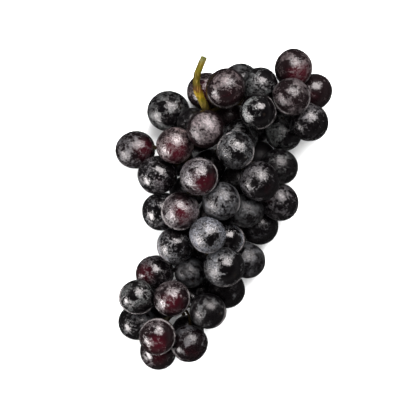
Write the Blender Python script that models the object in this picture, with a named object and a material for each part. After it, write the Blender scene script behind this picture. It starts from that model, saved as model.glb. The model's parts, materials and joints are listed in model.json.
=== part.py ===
"""A bunch of black grapes, picked with its stalk and lying on a surface.

Metres, +Z up. The origin is on the surface, under the middle of the bunch's box. The cut end of
the stalk points towards +Y and the thin end of the bunch towards -Y. The lengths below are in
millimetres, and a mesh is scaled to metres when it is made.

The berries seen from above are placed by hand, with the height that each one has because of
what it covers. Berries that carry them and fill the underside are added by a rule, then all of
them settle against each other and on the surface. The stalk then grows through the free space
between them: the stem through the middle, its side branches, and a small stem to each berry.
"""

import heapq
import math

import bmesh
import bpy
import numpy as np
from mathutils import Matrix, Vector

MM = 0.001

# Driving sizes
BERRY_LIMIT = 59            # berries in all
HIDDEN_DIAMETER = (16.0, 21.0)
HIDDEN_HEIGHTS = (9.0, 22.0)    # lowest and highest middle of a hidden berry
LOW_BERRY = 16.0            # a berry whose middle is lower belongs to the underside
HOLE_WEIGHT = 30.0          # how much more a closed hole counts than a filled underside
SQUEEZE = 0.84              # how close to touching a new berry may start, before it settles
OUTLINE_RAYS = 16           # ways to look for a seen berry from a point in plan
OUTLINE_REACH = 26.0        # how far away it may be for the point to be inside the outline
BERRY_STRETCH = 1.05        # length over width
BERRY_SIDES = 12
BERRY_RINGS = 7
LEAST_EDGE = 0.25           # corners closer than this are joined
PRESS = 0.955               # distance of two pressed berries over the sum of their radii
GAP = 0.3                   # clearance between pieces that touch
FLOOR_FLAT = 0.7            # how far a berry that rests is flattened
SEED = 6

# How the berries are laid out and settle
PLAN_BOX = ((-62.0, 64.0), (-92.0, 92.0))   # what hidden berries may cover in plan
PLAN_STEP = 3.0             # grid step of their trial places
HEIGHT_STEP = 1.0
HEIGHT_WEIGHT = 0.5         # how much a lower place counts
RIM_POINTS = 12             # points of a berry's rim that are tested against the outline
RIM_SHARE = 0.92            # how far out they are
UNDER_SHARE = 0.8           # part of a seen berry that a berry beneath should fill
PUSH_SHARE = 0.6            # share of an overlap that is pushed apart in a round
PLAN_HOLD = 0.5             # how strongly a seen berry keeps its place in plan
HEIGHT_HOLD = 0.02          # and its height
SINK = 0.04                 # how far a hidden berry sinks in a round
FIRST_ROUNDS = 300
ADD_ROUNDS = 80
LAST_ROUNDS = 400

# Berries seen from above, from the cut end to the thin end: x, y, height of the middle, diameter
SEEN_BERRIES = (
    (40.6, 82.0, 24.0, 22.3),
    (10.0, 73.5, 18.0, 22.3),
    (20.4, 71.0, 28.0, 21.5),
    (1.5, 69.8, 34.0, 23.0),
    (-9.6, 68.5, 15.0, 22.5),
    (52.6, 68.5, 13.0, 20.6),
    (39.0, 64.5, 36.0, 22.0),
    (-31.8, 57.0, 11.5, 24.0),
    (20.0, 56.5, 40.0, 21.5),
    (48.7, 50.7, 25.0, 22.8),
    (-10.5, 46.5, 38.0, 22.0),
    (34.9, 45.0, 22.0, 21.5),
    (9.0, 41.5, 20.0, 22.0),
    (-28.0, 37.0, 31.0, 21.5),
    (-51.7, 34.5, 10.0, 22.4),
    (6.5, 34.0, 38.0, 22.0),
    (20.0, 30.0, 12.0, 20.0),
    (32.0, 24.5, 18.0, 21.0),
    (-38.4, 20.0, 22.0, 22.5),
    (-14.0, 18.5, 46.0, 22.5),
    (20.5, 16.0, 39.0, 23.0),
    (-1.5, 4.5, 37.0, 22.0),
    (32.1, 4.4, 18.0, 22.0),
    (-25.0, -1.0, 37.0, 22.5),
    (13.0, -1.0, 25.0, 20.0),
    (-35.9, -1.4, 18.0, 22.2),
    (20.5, -9.8, 11.0, 22.2),
    (-9.0, -15.5, 38.0, 21.5),
    (2.0, -17.5, 20.0, 20.0),
    (-28.0, -20.9, 26.0, 21.5),
    (13.8, -30.0, 11.0, 21.2),
    (0.0, -33.5, 27.0, 23.5),
    (-40.0, -37.7, 14.0, 21.6),
    (-19.5, -37.0, 20.0, 18.5),
    (1.1, -46.6, 19.0, 21.8),
    (-49.9, -51.3, 24.0, 21.0),
    (-30.0, -52.0, 29.0, 21.5),
    (-12.5, -48.5, 9.5, 18.0),
    (-9.1, -58.9, 28.0, 21.2),
    (-50.3, -66.0, 11.0, 21.4),
    (-21.0, -72.0, 10.0, 19.5),
    (-38.4, -74.0, 33.0, 21.5),
    (-20.0, -77.8, 22.0, 21.0),
    (-38.0, -82.8, 12.0, 21.5),
)

# Where the surface shows through between the berries: x, y, and how wide a circle stays clear
CLEAR_SPOTS = (
    (-39.2, 34.6, 1.2),
    (-29.8, -64.6, 1.2),
    (-24.0, -61.6, 1.6),
)

# The stem's free end, from its cut to where it goes in under the first berries: x, y, z
FREE_STEM = (
    (-11.3, 88.0, 35.0),
    (-13.4, 83.2, 34.0),
    (-15.3, 78.5, 32.8),
    (-16.0, 73.2, 31.2),
    (-14.8, 68.0, 29.8),
    (-13.0, 64.0, 28.8),
    (-10.8, 59.5, 27.5),
    (-8.5, 55.5, 26.0),
)
FREE_STEM_RADII = (1.9, 2.3)    # at its cut and where it goes in
FREE_STEM_KNOT = 4          # the point of the free stem with the swollen ring
KNOT_SWELL = 1.28

# The inner stems
STEM_END = (-30.0, -62.0, 18.0)     # where the stem through the middle ends
SHOULDER_END = (38.0, 56.0, 20.0)   # where the side branch of the broad shoulder ends
PEDICEL_RADIUS = 0.8        # the small stem of one berry
PIPE_POWER = 0.26           # how a stem's radius grows with the number of berries it carries
THINNEST = 0.5              # the least radius where the way between berries is narrow
COLLAR_RADIUS = 1.7         # the swollen end of a small stem, against its berry
COLLAR_LENGTH = 1.8
STEM_POINT_STEP = 3.6       # distance between the points of a stem
CHORD_SLACK = 0.2           # what a straight stretch between two points needs beside a berry
SMOOTH_ROUNDS = 60
STEM_SIDES = 8
PEDICEL_SIDES = 6

# The search for a way between the berries
CELL = 1.5                  # grid step
CLEAR_LEAST = 0.85          # least distance from a stem's middle to a berry
CLEAR_WANTED = 2.0
INSIDE_CLEAR = 4.5          # a point further than this from every berry is outside the bunch
FLOOR_CLEAR = 3.0
GRID_MARGIN = 14.0          # how far the grid goes past the outermost berries
ROOF_DEPTH = 3.0            # a stem is hidden when it runs this far under the top berries
OPEN_COST = 3.0             # extra cost of running nearer to the top
TIGHT_COST = 1.2            # extra cost of a narrow way
NEAR_CELLS = 4              # how many cells round a point are searched for an open one
BERRY_REACH = 1.03          # a berry's longest radius over its layout radius
MAIN_PULL = 0.5             # cost of going along a main stem, over that of leaving it
ATTACH_TURN = 12.0          # cost of a small stem that meets its berry from the wrong side
ATTACH_SPAN = (1.6, 3.4)    # how far off its berry a small stem's end is looked for
ATTACH_MIDDLE = (-8.0, 22.0)    # x and height of the line that small stems come from
ATTACH_PULL = (0.25, 3.0, 0.5)  # how much x, the cut end and height count in their direction
TOP_COST = 30.0             # cost of meeting a berry from above
TOP_RISE = 0.2              # steepest way that isn't from above

# Rounding off the stems
SMOOTH_SHARE = 0.5
PUSH_LIMIT = 0.5            # furthest push off a berry in a round
COLLAR_SLACK = 0.3          # room between a small stem's end and its collar
COLLAR_STEPS = (0.5, 0.2, 0.0)  # where along its length a collar changes its width
COLLAR_FLARE = 1.25         # width where the flare starts, over the small stem's
COLLAR_FOOT = 0.92          # width of the foot over the widest
SHARP_ANGLE = 50.0          # corners sharper than this, in degrees, aren't shaded smooth
FLAT_ANGLE = 0.5            # faces that turn less than this are one face

# Finish
BLACK_SKIN = (0.020, 0.014, 0.024)
RED_SKIN = (0.085, 0.016, 0.030)
STALK_GREEN = (0.30, 0.26, 0.05)
SKIN_ROUGHNESS = 0.35
STALK_ROUGHNESS = 0.6
RED_BERRIES = (1, 5, 14, 15, 20, 24, 37, 42, 43, 44)    # numbers of the berries with red skin


def settle(centres, radii, seen, fixed, fixed_radii, rounds):
    """Pushes berries apart, to PRESS times touching, from each other, the free stem and the
    surface. Seen berries keep their place in plan and their order in height."""
    target = centres.copy()
    above = centres[:, None, 2] >= centres[None, :, 2]
    reach = PRESS * (radii[:, None] + radii[None, :])
    for _ in range(rounds):
        step = centres[:, None, :] - centres[None, :, :]
        both = seen[:, None] & seen[None, :]
        rise = np.abs(step[..., 2]) * np.where(above, 1.0, -1.0)
        step[..., 2] = np.where(both, rise, step[..., 2])
        far = np.linalg.norm(step, axis=2)
        far[far < 1e-6] = 1e-6
        overlap = np.clip(reach - far, 0.0, None)
        np.fill_diagonal(overlap, 0.0)
        push = (step / far[..., None] * overlap[..., None] * 0.5).sum(axis=1)
        centres = centres + push * PUSH_SHARE
        step = centres[:, None, :] - fixed[None, :, :]
        far = np.linalg.norm(step, axis=2)
        overlap = np.clip(radii[:, None] + fixed_radii[None, :] + GAP - far, 0.0, None)
        centres = centres + (step / far[..., None] * overlap[..., None]).sum(axis=1) * PUSH_SHARE
        plan = np.where(seen[:, None], PLAN_HOLD, 0.0)
        centres[:, :2] += (target[:, :2] - centres[:, :2]) * plan
        fall = np.where(seen, (target[:, 2] - centres[:, 2]) * HEIGHT_HOLD, -SINK)
        centres[:, 2] += fall
        centres[:, 2] = np.maximum(centres[:, 2], radii - FLOOR_FLAT)
    return centres


def inside_outline(points, plan, radii):
    """True for each point in plan that seen berries surround, so that it isn't past the outline."""
    step = plan[None, :, :] - points[:, None, :]
    sides = np.zeros(len(points), int)
    for turn in np.linspace(0.0, 2 * math.pi, OUTLINE_RAYS, endpoint=False):
        along = step[..., 0] * math.cos(turn) + step[..., 1] * math.sin(turn)
        across = np.abs(step[..., 1] * math.cos(turn) - step[..., 0] * math.sin(turn))
        hit = (across < radii) & (along > 0.0) & (along < OUTLINE_REACH)
        sides += hit.any(axis=1)
    return sides >= OUTLINE_RAYS - 1


def covered(points, plan, radii):
    """True for each point in plan that lies under a berry."""
    return (np.linalg.norm(points[:, None] - plan[None], axis=2) < radii[None]).any(axis=1)


def grid_in_plan(step):
    """Points over the bunch's plan, a step apart."""
    xs, ys = (np.arange(low, high, step) for low, high in PLAN_BOX)
    return np.stack(np.meshgrid(xs, ys), axis=-1).reshape(-1, 2)


def hidden_berry(draw, centres, radii, seen_count):
    """One more berry, at the lowest height with room for it, where it closes the most of what
    can still be seen through, or else fills the underside. The clear spots stay clear."""
    plan = grid_in_plan(PLAN_STEP) + draw.uniform(-PLAN_STEP / 2, PLAN_STEP / 2, 2)
    size = draw.uniform(*HIDDEN_DIAMETER, len(plan)) / 2
    seen_plan, seen_radii = centres[:seen_count, :2], radii[:seen_count]
    fits = np.ones(len(plan), bool)
    for turn in np.linspace(0.0, 2 * math.pi, RIM_POINTS, endpoint=False):
        rim = plan + RIM_SHARE * size[:, None] * np.array((math.cos(turn), math.sin(turn)))
        fits &= covered(rim, seen_plan, seen_radii) | inside_outline(rim, seen_plan, seen_radii)
    for spot in CLEAR_SPOTS:
        fits &= np.linalg.norm(plan - spot[:2], axis=1) > size + spot[2]
    plan, size = plan[fits], size[fits]
    height = np.full(len(plan), np.inf)
    for z in np.arange(HIDDEN_HEIGHTS[1], HIDDEN_HEIGHTS[0], -HEIGHT_STEP):
        at = np.column_stack((plan, np.maximum(z, size - FLOOR_FLAT)))
        far = np.linalg.norm(at[:, None] - centres[None], axis=2)
        room = (far > SQUEEZE * (size[:, None] + radii[None])).all(axis=1)
        height[room] = at[room, 2]
    cells = grid_in_plan(PLAN_STEP / 2)
    holes = cells[inside_outline(cells, seen_plan, seen_radii)]
    holes = holes[~covered(holes, centres[:, :2], radii)]
    low = centres[:, 2] < LOW_BERRY
    bare = cells[covered(cells, seen_plan, UNDER_SHARE * seen_radii)]
    bare = bare[~covered(bare, centres[low, :2], radii[low])]
    score = np.full(len(plan), -np.inf)
    for i in np.flatnonzero(np.isfinite(height)):
        closed = (np.linalg.norm(holes - plan[i], axis=1) < size[i]).sum()
        under = (np.linalg.norm(bare - plan[i], axis=1) < size[i]).sum()
        score[i] = HOLE_WEIGHT * closed + under - HEIGHT_WEIGHT * height[i]
    if not np.isfinite(score).any():
        return None
    best = int(np.argmax(score))
    return (*plan[best], height[best]), size[best]


def place_berries():
    """Centres and radii of all berries, settled."""
    draw = np.random.default_rng(SEED)
    seen_all = np.array(SEEN_BERRIES)
    stem = np.array(FREE_STEM)
    stem_radii = np.linspace(*FREE_STEM_RADII, len(stem)) + GAP
    centres, radii = seen_all[:, :3].copy(), seen_all[:, 3] / 2
    seen = np.ones(len(centres), bool)
    centres = settle(centres, radii, seen, stem, stem_radii, FIRST_ROUNDS)
    while len(centres) < BERRY_LIMIT:
        found = hidden_berry(draw, centres, radii, len(SEEN_BERRIES))
        if found is None:
            break
        centres = np.vstack((centres, found[0]))
        radii = np.append(radii, found[1])
        seen = np.append(seen, False)
        centres = settle(centres, radii, seen, stem, stem_radii, ADD_ROUNDS)
    return settle(centres, radii, seen, stem, stem_radii, LAST_ROUNDS), radii


def free_distance(points, centres, radii):
    """Distance from each point to the nearest berry's surface, and that berry's number."""
    far = np.linalg.norm(points[:, None] - centres[None], axis=2) - BERRY_REACH * radii[None]
    nearest = far.argmin(axis=1)
    return far[np.arange(len(points)), nearest], nearest


class Ways:
    """The free space between the berries as a grid, and the shortest ways through it."""

    def __init__(self, centres, radii):
        low = centres.min(axis=0) - GRID_MARGIN
        high = centres.max(axis=0) + GRID_MARGIN
        self.low = np.array((low[0], low[1], FLOOR_CLEAR))
        self.shape = np.ceil((high - self.low) / CELL).astype(int) + 1
        axes = [self.low[k] + CELL * np.arange(self.shape[k]) for k in range(3)]
        grid = np.stack(np.meshgrid(*axes, indexing="ij"), axis=-1)
        clear = np.full(self.shape, np.inf)
        roof = np.zeros(self.shape[:2])
        for centre, radius in zip(centres, radii):
            far = np.linalg.norm(grid - centre, axis=-1) - BERRY_REACH * radius
            clear = np.minimum(clear, far)
            plan = np.linalg.norm(grid[:, :, 0, :2] - centre[:2], axis=-1)
            top = centre[2] + np.sqrt(np.clip(radius ** 2 - plan ** 2, 0.0, None))
            roof = np.where(plan < radius, np.maximum(roof, top), roof)
        allowed = (clear > CLEAR_LEAST) & (clear < 2 * INSIDE_CLEAR)
        under = grid[..., 2] < roof[:, :, None] - ROOF_DEPTH
        tight = np.clip(CLEAR_WANTED - clear, 0.0, None)
        loose = np.clip(clear - INSIDE_CLEAR, 0.0, None)
        self.weight = 1.0 + TIGHT_COST * tight + loose + np.where(under, 0.0, OPEN_COST)
        self.weight[~allowed] = np.inf
        strides = (self.shape[1] * self.shape[2], self.shape[2], 1)
        self.steps = []
        for dx in (-1, 0, 1):
            for dy in (-1, 0, 1):
                for dz in (-1, 0, 1):
                    kind = abs(dx) + abs(dy) + abs(dz)
                    if 1 <= kind <= 2:
                        jump = dx * strides[0] + dy * strides[1] + dz * strides[2]
                        self.steps.append((jump, CELL * math.sqrt(kind)))
        edge = np.ones(self.shape, bool)
        edge[1:-1, 1:-1, 1:-1] = False
        self.weight[edge] = np.inf
        self.flat = self.weight.ravel().tolist()

    def cell_of(self, point):
        """The open cell nearest to a point."""
        index = np.round((np.array(point) - self.low) / CELL).astype(int)
        best, best_far = None, math.inf
        near = range(-NEAR_CELLS, NEAR_CELLS + 1)
        for dx in near:
            for dy in near:
                for dz in near:
                    at = index + (dx, dy, dz)
                    if (at < 0).any() or (at >= self.shape).any():
                        continue
                    far = dx * dx + dy * dy + dz * dz
                    if far < best_far and np.isfinite(self.weight[tuple(at)]):
                        best, best_far = at, far
        return int(np.ravel_multi_index(tuple(best), tuple(self.shape)))

    def point_of(self, cell):
        """The place of a cell."""
        return self.low + CELL * np.array(np.unravel_index(cell, tuple(self.shape)))

    def spread(self, starts):
        """Cheapest cost from the start cells to every cell, and the cell before it."""
        cost = dict(starts)
        before = {cell: None for cell in starts}
        heap = [(value, cell) for cell, value in starts.items()]
        heapq.heapify(heap)
        flat, steps, done = self.flat, self.steps, set()
        while heap:
            value, cell = heapq.heappop(heap)
            if cell in done:
                continue
            done.add(cell)
            for jump, length in steps:
                other = cell + jump
                weight = flat[other]
                if weight == math.inf or other in done:
                    continue
                total = value + length * weight
                if total < cost.get(other, math.inf):
                    cost[other] = total
                    before[other] = cell
                    heapq.heappush(heap, (total, other))
        return cost, before


def way_back(before, cell):
    """The cells from a start to the given cell."""
    cells = []
    while cell is not None:
        cells.append(cell)
        cell = before[cell]
    return cells[::-1]


def main_stems(ways):
    """The cells of the two main stems, each with its distance along them, and what precedes it."""
    root = ways.cell_of(FREE_STEM[-1])
    cost, before = ways.spread({root: 0.0})
    along, parent = {root: 0.0}, {root: None}
    for goal in (STEM_END, SHOULDER_END):
        cells = way_back(before, ways.cell_of(goal))
        for last, cell in zip(cells, cells[1:]):
            if cell not in parent:
                parent[cell] = last
                step = np.linalg.norm(ways.point_of(cell) - ways.point_of(last))
                along[cell] = along[last] + step
    return along, parent


def attach_cell(ways, cost, number, centres, radii):
    """The open cell beside a berry where its small stem ends: near along the stems, on the side
    that faces the middle of the bunch and the cut end, and not on top."""
    centre, radius = centres[number], radii[number]
    nearest, furthest = ATTACH_SPAN
    reach = int(math.ceil((radius + furthest) / CELL)) + 1
    middle = np.round((centre - ways.low) / CELL).astype(int)
    best, best_cost = None, math.inf
    sideways = ATTACH_PULL[0] * (ATTACH_MIDDLE[0] - centre[0])
    upwards = ATTACH_PULL[2] * (ATTACH_MIDDLE[1] - centre[2])
    inward = np.array((sideways, ATTACH_PULL[1], upwards))
    inward /= np.linalg.norm(inward)
    offsets = range(-reach, reach + 1)
    for dx in offsets:
        for dy in offsets:
            for dz in offsets:
                at = middle + (dx, dy, dz)
                if (at < 1).any() or (at >= ways.shape - 1).any():
                    continue
                cell = int(np.ravel_multi_index(tuple(at), tuple(ways.shape)))
                if cell not in cost:
                    continue
                step = ways.low + CELL * at - centre
                far = np.linalg.norm(step)
                if not radius + nearest < far < radius + furthest:
                    continue
                way = step / far
                value = cost[cell] + ATTACH_TURN * (1.0 - way @ inward)
                value += TOP_COST * max(0.0, way[2] - TOP_RISE)
                if value < best_cost:
                    best, best_cost = cell, value
    return best


def grow_stalk(centres, radii):
    """The stalk as points with the point before each, the berry that each end carries, and the
    number of berries beyond each point."""
    ways = Ways(centres, radii)
    along, parent = main_stems(ways)
    starts = {cell: MAIN_PULL * value for cell, value in along.items()}
    cost, before = ways.spread(starts)
    ends = {}
    for number in range(len(centres)):
        cell = attach_cell(ways, cost, number, centres, radii)
        ends[number] = cell
        while cell is not None and cell not in parent:
            parent[cell] = before[cell]
            cell = before[cell]
    return ways, parent, ends


def smooth_stalk(ways, parent, ends, centres, radii):
    """Points, radii and parents of the stalk, rounded off and pushed clear of the berries."""
    cells = list(parent)
    order = {cell: k for k, cell in enumerate(cells)}
    up = np.array([-1 if parent[cell] is None else order[parent[cell]] for cell in cells])
    points = np.array([ways.point_of(cell) for cell in cells])
    load = np.zeros(len(cells), int)
    carries = {}
    for number, cell in ends.items():
        at = order[cell]
        carries.setdefault(at, []).append(number)
        while at >= 0:
            load[at] += 1
            at = up[at]
    root = int(np.flatnonzero(up < 0)[0])
    thick = np.minimum(FREE_STEM_RADII[1], PEDICEL_RADIUS * load.clip(1) ** PIPE_POWER)
    kids = np.flatnonzero(up >= 0)
    for _ in range(SMOOTH_ROUNDS):
        total = np.zeros_like(points)
        count = np.zeros(len(points))
        np.add.at(total, kids, points[up[kids]])
        np.add.at(count, kids, 1.0)
        np.add.at(total, up[kids], points[kids])
        np.add.at(count, up[kids], 1.0)
        moved = points + SMOOTH_SHARE * (total / count[:, None] - points)
        for at, numbers in carries.items():
            centre, radius = centres[numbers[0]], radii[numbers[0]]
            way = moved[at] - centre
            reach = BERRY_REACH * radius + GAP + COLLAR_LENGTH + COLLAR_SLACK
            moved[at] = centre + way / np.linalg.norm(way) * reach
        free, nearest = free_distance(moved, centres, radii)
        lack = np.clip(thick + GAP + CHORD_SLACK - free, 0.0, None)
        way = moved - centres[nearest]
        way /= np.linalg.norm(way, axis=1)[:, None]
        moved += way * np.minimum(lack, PUSH_LIMIT)[:, None]
        moved[root] = FREE_STEM[-1]
        points = moved
    return points, up, load, carries, root


def stem_chains(up, load, root):
    """The stalk's points as chains: each goes on into the branch that carries the most."""
    children = {}
    for at, above in enumerate(up):
        children.setdefault(int(above), []).append(at)
    chains = []
    starts = [(None, root)]
    while starts:
        from_point, at = starts.pop()
        chain = [] if from_point is None else [from_point]
        while True:
            chain.append(at)
            below = sorted(children.get(at, []), key=lambda k: (-load[k], k))
            if not below:
                break
            starts += [(at, other) for other in below[1:]]
            at = below[0]
        chains.append(chain)
    return chains


def resample(points, widths, step):
    """The same line with points about a step apart."""
    lengths = np.linalg.norm(np.diff(points, axis=0), axis=1)
    along = np.concatenate(((0.0,), np.cumsum(lengths)))
    count = max(2, int(round(along[-1] / step)) + 1)
    at = np.linspace(0.0, along[-1], count)
    line = np.stack([np.interp(at, along, points[:, k]) for k in range(3)], axis=1)
    return line, np.interp(at, along, widths)


def stem_lines(centres, radii):
    """Every stem of the stalk as a line of points with a radius at each."""
    ways, parent, ends = grow_stalk(centres, radii)
    points, up, load, carries, root = smooth_stalk(ways, parent, ends, centres, radii)
    lines = []
    for chain in stem_chains(up, load, root):
        thick = PEDICEL_RADIUS * load[chain].clip(1) ** PIPE_POWER
        thick = np.minimum(FREE_STEM_RADII[1], thick)
        if len(chain) > 1 and chain[0] != root:
            thick[0] = thick[1]
        line, thick = resample(points[chain], thick, STEM_POINT_STEP)
        free, _ = free_distance(line, centres, radii)
        thick = np.clip(np.minimum(thick, free - GAP - CHORD_SLACK), THINNEST, None)
        if chain[0] == root:
            free_part = np.array(FREE_STEM[:-1])
            free_thick = np.linspace(*FREE_STEM_RADII, len(free_part))
            free_thick[FREE_STEM_KNOT] *= KNOT_SWELL
            line = np.vstack((free_part, line))
            thick = np.concatenate((free_thick, thick))
        for number in carries.get(chain[-1], [])[:1]:
            line, thick = add_collar(line, thick, centres[number], radii[number])
        lines.append((line, thick))
    return lines


def collar_way(point, centre):
    """From a berry's middle towards the end of its small stem."""
    way = point - centre
    return way / np.linalg.norm(way)


def add_collar(line, thick, centre, radius):
    """Ends a small stem in its swollen collar, a gap off its berry."""
    way = collar_way(line[-1], centre)
    foot = BERRY_REACH * radius + GAP
    widths = (COLLAR_FLARE * thick[-1], COLLAR_RADIUS, COLLAR_FOOT * COLLAR_RADIUS)
    for part, wide in zip(COLLAR_STEPS, widths):
        line = np.vstack((line, centre + way * (foot + part * COLLAR_LENGTH)))
        thick = np.append(thick, wide)
    return line, thick


def tube(name, line, thick, sides):
    """A closed tube along a line, with a radius at each point."""
    mesh = bpy.data.meshes.new(name)
    bm = bmesh.new()
    points = [Vector(point) for point in line]
    across = None
    rings = []
    for k, point in enumerate(points):
        ahead = (points[min(k + 1, len(points) - 1)] - point).normalized()
        behind = (point - points[max(k - 1, 0)]).normalized()
        way = (ahead + behind).normalized()
        if across is None:
            across = way.orthogonal().normalized()
        across = (across - way * across.dot(way)).normalized()
        other = way.cross(across)
        ring = []
        for side in range(sides):
            turn = 2 * math.pi * side / sides
            out = across * math.cos(turn) + other * math.sin(turn)
            ring.append(bm.verts.new(point + out * thick[k]))
        rings.append(ring)
    for low, high in zip(rings, rings[1:]):
        for side in range(sides):
            after = (side + 1) % sides
            bm.faces.new((low[side], low[after], high[after], high[side]))
    bm.faces.new(rings[0][::-1])
    bm.faces.new(rings[-1])
    bmesh.ops.scale(bm, vec=(MM, MM, MM), verts=bm.verts)
    bm.to_mesh(mesh)
    bm.free()
    return bpy.data.objects.new(name, mesh)


def make_stalk(lines, material):
    """All stems joined into one solid."""
    group = bpy.data.collections.new("stems")
    bpy.context.scene.collection.children.link(group)
    stalk = None
    for k, (line, thick) in enumerate(lines):
        sides = STEM_SIDES if k == 0 else PEDICEL_SIDES
        stem = tube("stalk" if k == 0 else f"stem_{k:02d}", line, thick, sides)
        if k == 0:
            stalk = stem
            bpy.context.scene.collection.objects.link(stem)
        else:
            group.objects.link(stem)
    union = stalk.modifiers.new("union", "BOOLEAN")
    union.operation = "UNION"
    union.operand_type = "COLLECTION"
    union.collection = group
    union.solver = "EXACT"
    bpy.context.view_layer.objects.active = stalk
    bpy.ops.object.modifier_apply(modifier=union.name)
    for stem in list(group.objects):
        bpy.data.objects.remove(stem)
    bpy.data.collections.remove(group)
    stalk.data.materials.clear()
    stalk.data.materials.append(material)
    finish_shading(stalk.data)
    return stalk


def finish_shading(mesh):
    """Smooth shading, with only real corners sharp."""
    mesh.shade_smooth()
    mesh.set_sharp_from_angle(angle=math.radians(SHARP_ANGLE))


def pressed_planes(number, centres, radii):
    """Where a berry is flattened: against each neighbour, half a gap off the plane between
    them, and on the surface. Each plane is a distance from the middle and a direction."""
    planes = []
    centre, radius = centres[number], radii[number]
    for other in range(len(centres)):
        step = centres[other] - centre
        far = np.linalg.norm(step)
        if other == number or far > BERRY_REACH * (radius + radii[other]) + GAP:
            continue
        middle = (far ** 2 + radius ** 2 - radii[other] ** 2) / (2 * far)
        planes.append((middle - GAP / 2, step / far))
    planes.append((centre[2], np.array((0.0, 0.0, -1.0))))
    return planes


def make_berry(name, centre, radius, axis, planes, material):
    """A berry: a little longer than wide, along the line of its small stem, and flattened where
    it is pressed."""
    long_half = radius * BERRY_REACH
    wide_half = long_half / BERRY_STRETCH
    bm = bmesh.new()
    bmesh.ops.create_uvsphere(bm, u_segments=BERRY_SIDES, v_segments=BERRY_RINGS, radius=1.0)
    turn = Vector(axis).to_track_quat("Z", "Y").to_matrix().to_4x4()
    size = Matrix.Diagonal((wide_half, wide_half, long_half, 1.0))
    bmesh.ops.transform(bm, matrix=turn @ size, verts=bm.verts)
    for distance, way in planes:
        if distance < long_half:
            bmesh.ops.bisect_plane(
                bm,
                geom=bm.verts[:] + bm.edges[:] + bm.faces[:],
                dist=1e-5,
                plane_co=Vector(way * distance),
                plane_no=Vector(way),
                clear_outer=True,
            )
    bmesh.ops.remove_doubles(bm, verts=bm.verts[:], dist=LEAST_EDGE)
    corners = [vert.co.copy() for vert in bm.verts]
    bm.free()
    bm = bmesh.new()
    for corner in corners:
        bm.verts.new(corner)
    hull = bmesh.ops.convex_hull(bm, input=bm.verts[:], use_existing_faces=False)
    loose = {vert for vert in hull["geom_interior"] if isinstance(vert, bmesh.types.BMVert)}
    bmesh.ops.delete(bm, geom=list(loose), context="VERTS")
    flat = math.radians(FLAT_ANGLE)
    bmesh.ops.dissolve_limit(bm, angle_limit=flat, verts=bm.verts[:], edges=bm.edges[:])
    bmesh.ops.scale(bm, vec=(MM, MM, MM), verts=bm.verts)
    mesh = bpy.data.meshes.new(name)
    bm.to_mesh(mesh)
    bm.free()
    mesh.materials.append(material)
    finish_shading(mesh)
    berry = bpy.data.objects.new(name, mesh)
    berry.location = Vector(centre) * MM
    bpy.context.scene.collection.objects.link(berry)
    return berry


def make_material(name, colour, roughness):
    """A plain material."""
    material = bpy.data.materials.new(name)
    material.use_nodes = True
    shader = material.node_tree.nodes["Principled BSDF"]
    shader.inputs["Base Color"].default_value = (*colour, 1.0)
    shader.inputs["Roughness"].default_value = roughness
    shader.inputs["Metallic"].default_value = 0.0
    material.diffuse_color = (*colour, 1.0)
    return material


def middle_in_plan(objects):
    """The middle of the box round all objects, in plan."""
    corners = [thing.matrix_world @ vert.co for thing in objects for vert in thing.data.vertices]
    low = [min(corner[k] for corner in corners) for k in range(2)]
    high = [max(corner[k] for corner in corners) for k in range(2)]
    return (low[0] + high[0]) / 2, (low[1] + high[1]) / 2


def main():
    for thing in list(bpy.data.objects):
        bpy.data.objects.remove(thing)
    black = make_material("black_skin", BLACK_SKIN, SKIN_ROUGHNESS)
    red = make_material("red_skin", RED_SKIN, SKIN_ROUGHNESS)
    green = make_material("green_stalk", STALK_GREEN, STALK_ROUGHNESS)
    centres, radii = place_berries()
    lines = stem_lines(centres, radii)
    pieces = [make_stalk(lines, green)]
    for number in range(len(centres)):
        ends = [line[-1] for line, _ in lines]
        last = min(ends, key=lambda end: np.linalg.norm(end - centres[number]) - radii[number])
        axis = collar_way(last, centres[number])
        planes = pressed_planes(number, centres, radii)
        skin = red if number + 1 in RED_BERRIES else black
        name = f"berry_{number + 1:02d}"
        pieces.append(make_berry(name, centres[number], radii[number], axis, planes, skin))
    bpy.context.view_layer.update()
    x, y = middle_in_plan(pieces)
    bunch = bpy.data.objects.new("bunch", None)
    bunch.location = (-x, -y, 0.0)
    bpy.context.scene.collection.objects.link(bunch)
    for piece in pieces:
        piece.parent = bunch


main()
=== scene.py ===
"""The looks of the bunch of black grapes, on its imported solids.

Every berry becomes a fine mesh round the middle and radius of its solid: a little longer than
wide, uneven, pressed flat where it meets its neighbours and the surface, with a dent round its
small stem and a scar at the other end. The stalk is its solid, rounded off, with its own ridges.
The berries' and the stalk's lengths are in millimetres and become metres when a mesh is made.
"""

import json
import math

import bmesh
import bpy
import numpy as np
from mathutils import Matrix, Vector


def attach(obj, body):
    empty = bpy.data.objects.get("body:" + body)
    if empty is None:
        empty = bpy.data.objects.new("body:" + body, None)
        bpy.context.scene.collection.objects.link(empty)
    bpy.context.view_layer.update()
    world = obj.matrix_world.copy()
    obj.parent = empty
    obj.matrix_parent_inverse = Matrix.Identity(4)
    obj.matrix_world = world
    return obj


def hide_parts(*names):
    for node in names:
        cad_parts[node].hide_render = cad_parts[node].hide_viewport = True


MM = 0.001
SEED = 5

# Reading the solids
FIT_ROUNDS = 8              # times that the ball is fitted to a berry's round part
FLAT_DEPTH = 0.25           # corners this far inside the ball lie on a flat
STEM_REACH = 0.35           # stalk corners up to this much farther than the nearest are its stem

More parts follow.
